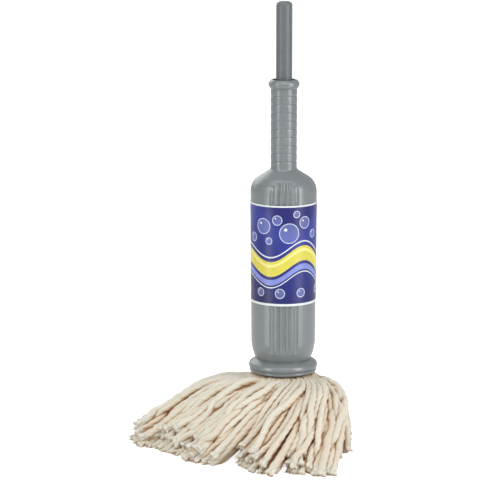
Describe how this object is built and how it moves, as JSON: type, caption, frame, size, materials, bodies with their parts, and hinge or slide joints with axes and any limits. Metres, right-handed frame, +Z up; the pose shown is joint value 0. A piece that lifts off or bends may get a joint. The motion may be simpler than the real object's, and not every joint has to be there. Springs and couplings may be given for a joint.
{
  "type": "wringer mop",
  "caption": "Cotton string mop with a grey moulded wringer sleeve that slides and turns on a short coated steel pole to squeeze the yarn",
  "frame": {"origin": "on the floor under the pole, where the yarn head stands", "axes": "+Z up along the pole, -Y towards the front of the label and the flutes, +X to the right seen from the front"},
  "size_m": [0.3251, 0.3074, 0.613],
  "materials": {
    "sleeve_plastic": "satin grey moulding",
    "label_film": "printed film",
    "pole_coating": "grey coated steel tube",
    "plug_plastic": "grey moulding",
    "bush_plastic": "dark moulding",
    "socket_plastic": "dark moulding",
    "fixing_steel": "zinc plated",
    "cotton_yarn": "loose natural cotton yarn"
  },
  "bodies": {
    "wringer": {"wringer_sleeve": "sleeve_plastic", "wrap_label": "label_film"},
    "guide": {"neck_bush": "bush_plastic"},
    "mop": {"pole_tube": "pole_coating", "pole_end_plug": "plug_plastic", "yarn_socket": "socket_plastic", "clamp_cone": "socket_plastic", "clamp_bolt": "fixing_steel", "clamp_nut": "fixing_steel", "yarn_core": "cotton_yarn", "yarn_lock_01": "cotton_yarn", "yarn_lock_02": "cotton_yarn", "yarn_lock_03": "cotton_yarn", "yarn_lock_04": "cotton_yarn", "yarn_lock_05": "cotton_yarn", "yarn_lock_06": "cotton_yarn", "yarn_lock_07": "cotton_yarn", "yarn_lock_08": "cotton_yarn", "yarn_lock_09": "cotton_yarn", "yarn_lock_10": "cotton_yarn", "yarn_lock_11": "cotton_yarn", "yarn_lock_12": "cotton_yarn", "yarn_lock_13": "cotton_yarn", "yarn_lock_14": "cotton_yarn", "yarn_lock_15": "cotton_yarn", "yarn_lock_16": "cotton_yarn", "yarn_lock_17": "cotton_yarn", "yarn_lock_18": "cotton_yarn", "yarn_lock_19": "cotton_yarn", "yarn_lock_20": "cotton_yarn"}
  },
  "joints": [
    {"name": "sleeve_turn", "type": "hinge", "parent": "wringer", "child": "guide", "pos_m": [0, 0, 0.41], "axis": [0, 0, 1], "continuous": true},
    {"name": "pole_slide", "type": "slide", "parent": "guide", "child": "mop", "axis": [0, 0, 1], "range_m": [0, 0.2], "deforming": ["yarn_core", "yarn_lock_01", "yarn_lock_02", "yarn_lock_03", "yarn_lock_04", "yarn_lock_05", "yarn_lock_06", "yarn_lock_07", "yarn_lock_08", "yarn_lock_09", "yarn_lock_10", "yarn_lock_11", "yarn_lock_12", "yarn_lock_13", "yarn_lock_14", "yarn_lock_15", "yarn_lock_16", "yarn_lock_17", "yarn_lock_18", "yarn_lock_19", "yarn_lock_20"]}
  ]
}
